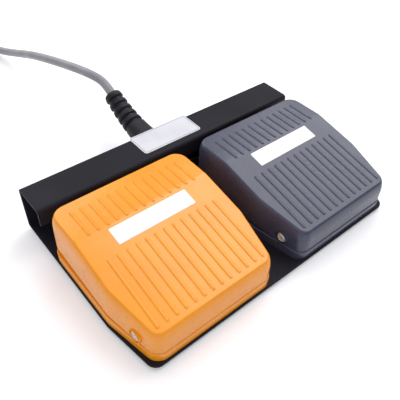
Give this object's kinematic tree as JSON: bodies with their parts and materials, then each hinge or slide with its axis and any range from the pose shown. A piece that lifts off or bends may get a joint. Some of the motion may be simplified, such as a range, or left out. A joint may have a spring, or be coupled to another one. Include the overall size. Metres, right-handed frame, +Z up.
{
  "type": "twin foot switch",
  "caption": "Twin momentary foot switch: ribbed pedals hinged at the heel over micro switches, on a folded steel plate whose rear channel carries the cable.",
  "frame": {"origin": "on the floor, under the middle of the base plate", "axes": "+X to the right as the user faces the pedals, +Y from the heel to the toe of the pedals, +Z up"},
  "size_m": [0.2575, 0.4165, 0.0451],
  "materials": {
    "black_steel": "satin powder coat",
    "orange_plastic": "moulded, satin gloss",
    "grey_plastic": "moulded, satin gloss",
    "bright_steel": "bright",
    "spring_steel": "drawn wire",
    "switch_plastic": "moulded",
    "plunger_plastic": "moulded",
    "brass_tab": "plated tab",
    "foot_rubber": "matt",
    "boot_rubber": "moulded, matt",
    "cable_jacket": "flexible jacket",
    "lead_jacket": "flexible jacket",
    "core_insulation": "insulated cores",
    "label_film": "silver white film, bare"
  },
  "bodies": {
    "base": {"base_plate": "black_steel", "cable": "cable_jacket", "cable_coil": "cable_jacket", "cable_inner": "cable_jacket", "cable_cores": "core_insulation", "strain_relief_boot": "boot_rubber", "channel_label": "label_film", "foot_front_left": "foot_rubber", "foot_front_right": "foot_rubber", "foot_rear_left": "foot_rubber", "foot_rear_right": "foot_rubber", "orange_housing": "orange_plastic", "orange_spring": "spring_steel", "orange_switch_case": "switch_plastic", "orange_switch_terminals": "brass_tab", "orange_switch_screws": "bright_steel", "orange_housing_screws": "bright_steel", "orange_lead": "lead_jacket", "orange_wires": "core_insulation", "orange_lead_grommet": "foot_rubber", "grey_housing": "grey_plastic", "grey_spring": "spring_steel", "grey_switch_case": "switch_plastic", "grey_switch_terminals": "brass_tab", "grey_switch_screws": "bright_steel", "grey_housing_screws": "bright_steel", "grey_lead": "lead_jacket", "grey_wires": "core_insulation", "grey_lead_grommet": "foot_rubber"},
    "orange_pedal_body": {"orange_pedal": "orange_plastic", "orange_axle": "bright_steel", "orange_axle_cap": "bright_steel", "orange_label": "label_film"},
    "orange_lever_body": {"orange_switch_lever": "bright_steel"},
    "orange_plunger_body": {"orange_switch_plunger": "plunger_plastic"},
    "grey_pedal_body": {"grey_pedal": "grey_plastic", "grey_axle": "bright_steel", "grey_axle_cap": "bright_steel", "grey_label": "label_film"},
    "grey_lever_body": {"grey_switch_lever": "bright_steel"},
    "grey_plunger_body": {"grey_switch_plunger": "plunger_plastic"}
  },
  "joints": [
    {"name": "orange_pedal_hinge", "type": "hinge", "parent": "base", "child": "orange_pedal_body", "pos_m": [-0.05205, -0.04655, 0.014], "axis": [-1, 0, 0], "range_deg": [0, 4.5], "stiffness_Nm_per_rad": 3.2, "springref_deg": -4.58, "deforming": ["orange_spring"]},
    {"name": "orange_lever_hinge", "type": "hinge", "parent": "base", "child": "orange_lever_body", "pos_m": [-0.05205, -0.02795, 0.0225], "axis": [-1, 0, 0], "range_deg": [0, 8.4]},
    {"name": "orange_plunger_slide", "type": "slide", "parent": "base", "child": "orange_plunger_body", "axis": [0, 0, -1], "range_m": [0, 0.0012]},
    {"name": "grey_pedal_hinge", "type": "hinge", "parent": "base", "child": "grey_pedal_body", "pos_m": [0.05205, -0.04655, 0.014], "axis": [-1, 0, 0], "range_deg": [0, 4.5], "stiffness_Nm_per_rad": 3.2, "springref_deg": -4.58, "deforming": ["grey_spring"]},
    {"name": "grey_lever_hinge", "type": "hinge", "parent": "base", "child": "grey_lever_body", "pos_m": [0.05205, -0.02795, 0.0225], "axis": [-1, 0, 0], "range_deg": [0, 8.4]},
    {"name": "grey_plunger_slide", "type": "slide", "parent": "base", "child": "grey_plunger_body", "axis": [0, 0, -1], "range_m": [0, 0.0012]}
  ],
  "couplings": [
    {"joint": "orange_lever_hinge", "follows": "orange_pedal_hinge", "ratio": 1.85},
    {"joint": "orange_plunger_slide", "follows": "orange_pedal_hinge", "m_per_rad": 0.01489},
    {"joint": "grey_lever_hinge", "follows": "grey_pedal_hinge", "ratio": 1.85},
    {"joint": "grey_plunger_slide", "follows": "grey_pedal_hinge", "m_per_rad": 0.01489}
  ]
}
